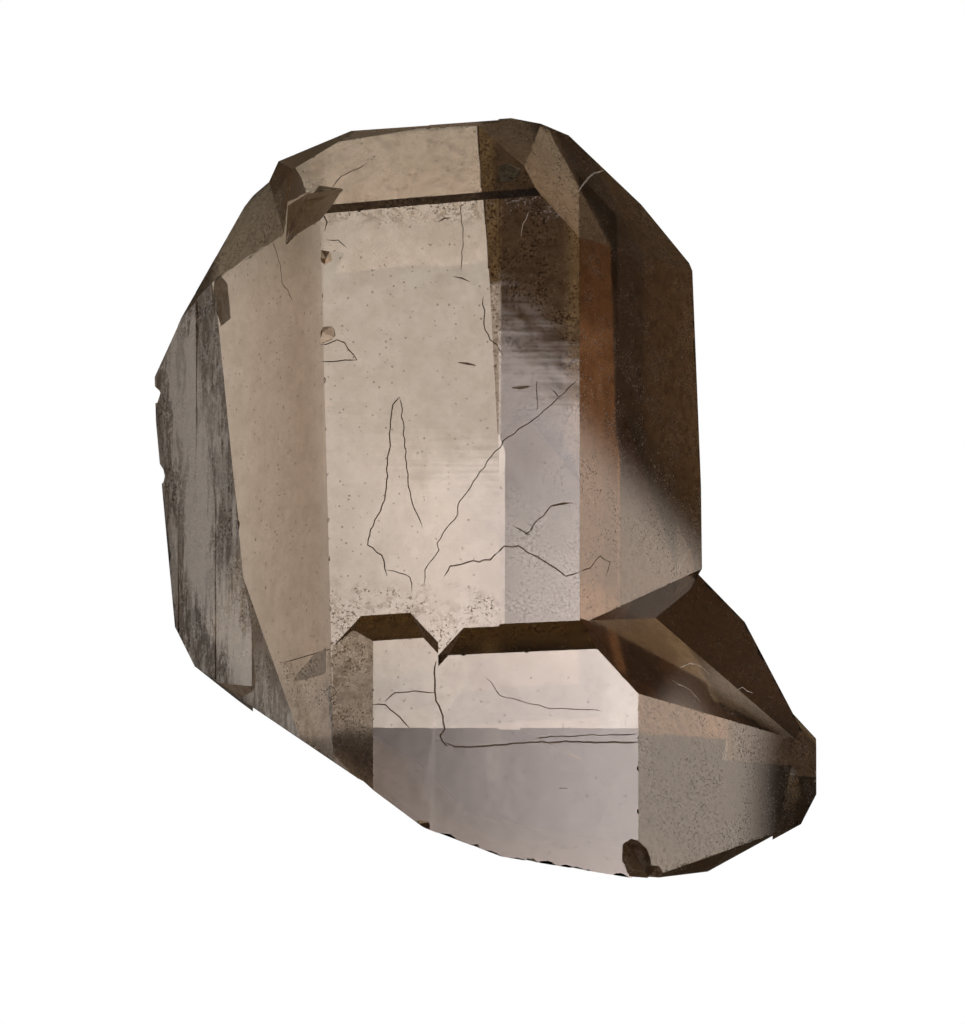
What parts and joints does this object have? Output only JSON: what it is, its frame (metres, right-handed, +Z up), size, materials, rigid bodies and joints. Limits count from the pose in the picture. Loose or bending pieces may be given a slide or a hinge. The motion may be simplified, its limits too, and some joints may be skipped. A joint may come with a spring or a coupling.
{
  "type": "smoky quartz gwindel crystal",
  "caption": "Twisted smoky quartz crystal lying on its back: stepped prism and pointed end faces, and a shorter crystal grown on at its lower end.",
  "frame": {"origin": "centre of the crystal's outline on the plane that it lies on", "axes": "+Z up from the surface that it lies on, out of the front prism faces; +Y along the crystals' c axis, towards the pointed end faces; +X along the a axis that the twist turns about"},
  "size_m": [0.0406, 0.0486, 0.02],
  "materials": {
    "smoky_quartz": "glossy"
  },
  "bodies": {
    "root": {"gwindel": "smoky_quartz"}
  },
  "joints": []
}
